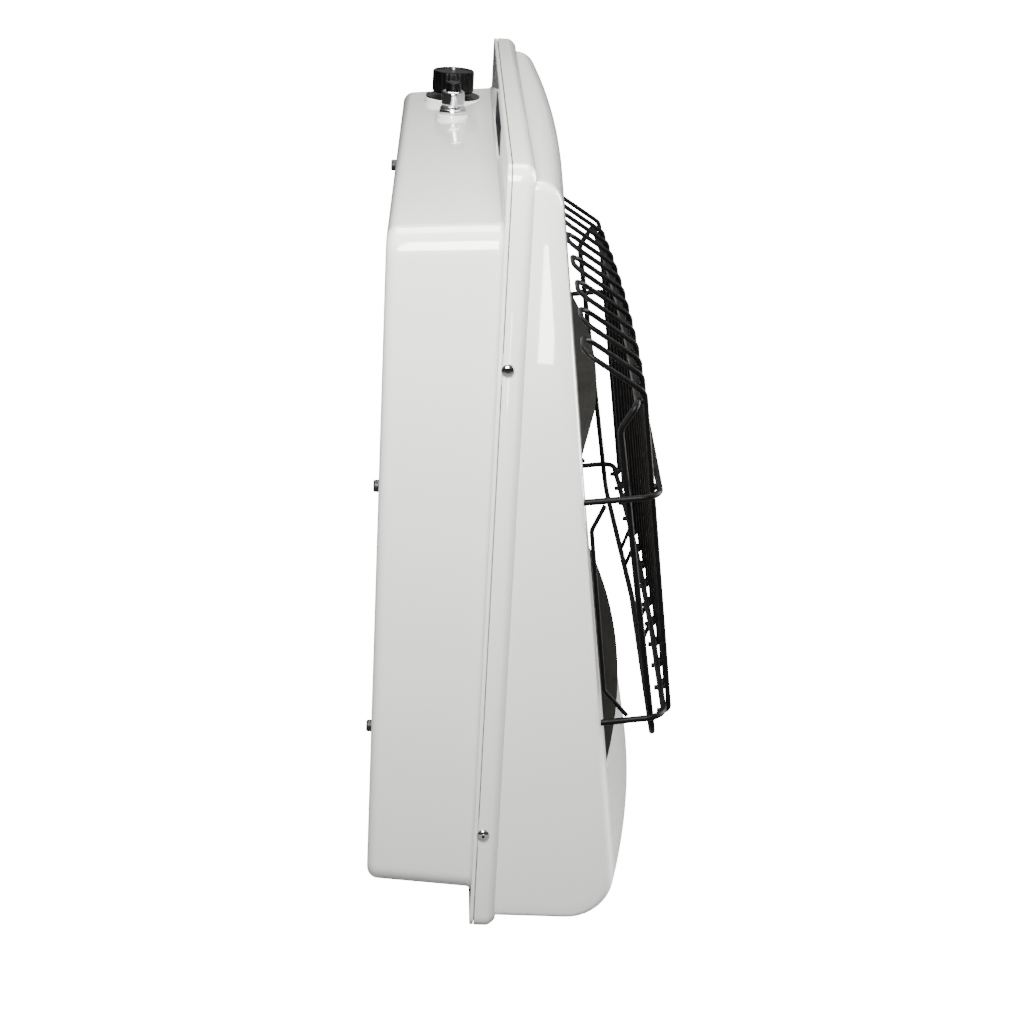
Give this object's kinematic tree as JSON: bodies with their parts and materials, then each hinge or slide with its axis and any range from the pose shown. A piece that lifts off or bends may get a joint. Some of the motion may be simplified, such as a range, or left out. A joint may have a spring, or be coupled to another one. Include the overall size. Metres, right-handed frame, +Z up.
{
  "type": "catalytic gas heater",
  "caption": "Portable catalytic gas heater with crowned front cover, hairpin wire guard, control knob and push-button igniter.",
  "frame": {"origin": "on the flat back face of the rear housing, at mid width, in the middle of the four wall holes", "axes": "front faces -Y, +Z up, +X to the right seen from the front"},
  "size_m": [0.404, 0.1657, 0.422],
  "materials": {
    "enamel_white": "gloss",
    "guard_black": "gloss",
    "hood_black": "satin",
    "tray_steel": "satin",
    "screen_steel": "satin",
    "pad_fibre": "matte",
    "blanket_fibre": "matte",
    "brass": "satin",
    "chrome": "polished",
    "screw_black": "satin",
    "screw_steel": "satin",
    "knob_plastic": "gloss",
    "bezel_metal": "gloss",
    "tube_aluminium": "satin",
    "ceramic_white": "matte",
    "probe_steel": "satin",
    "lead_rubber": "matte"
  },
  "bodies": {
    "heater": {"rear_housing": "enamel_white", "chassis_plate": "enamel_white", "front_cover": "enamel_white", "top_hood": "hood_black", "bottom_lip": "hood_black", "burner_tray": "tray_steel", "insulation_blanket": "blanket_fibre", "gas_diffuser": "tray_steel", "catalyst_pad": "pad_fibre", "pad_screen": "screen_steel", "tray_frame": "tray_steel", "tray_screws": "screw_steel", "support_posts": "tray_steel", "back_screws": "screw_black", "heat_shield": "tray_steel", "side_screws": "chrome", "gas_valve_body": "brass", "knob_bezel": "bezel_metal", "inlet_fitting": "brass", "supply_tube": "tube_aluminium", "manifold_tube": "tube_aluminium", "gas_jet": "brass", "valve_bracket": "tray_steel", "igniter_body": "chrome", "igniter_nut": "chrome", "igniter_spring": "screw_steel", "electrode_bracket": "tray_steel", "sensor_bracket": "tray_steel", "spark_electrode": "ceramic_white", "thermocouple": "probe_steel", "ignition_lead": "lead_rubber", "thermocouple_lead": "lead_rubber", "guard_hairpins": "guard_black", "upper_cross_bar": "guard_black", "lower_cross_bar": "guard_black", "guard_ring": "guard_black", "guard_ties": "guard_black", "side_braces": "guard_black"},
    "plug": {"valve_plug": "brass", "stem_spring": "screw_steel"},
    "knob": {"control_knob": "knob_plastic", "knob_stem": "screw_steel"},
    "button": {"igniter_button": "knob_plastic"}
  },
  "joints": [
    {"name": "knob_turn", "type": "hinge", "parent": "heater", "child": "plug", "pos_m": [0.1481, -0.0315, 0.15], "axis": [0, 0, 1], "range_deg": [-180, 0]},
    {"name": "knob_push", "type": "slide", "parent": "plug", "child": "knob", "axis": [0, 0, 1], "range_m": [-0.002, 0], "stiffness_N_per_m": 300, "springref_m": 0.001, "deforming": ["stem_spring"]},
    {"name": "igniter_press", "type": "slide", "parent": "heater", "child": "button", "axis": [0, 0, 1], "range_m": [-0.004, 0], "stiffness_N_per_m": 400, "springref_m": 0.001, "deforming": ["igniter_spring"]}
  ]
}
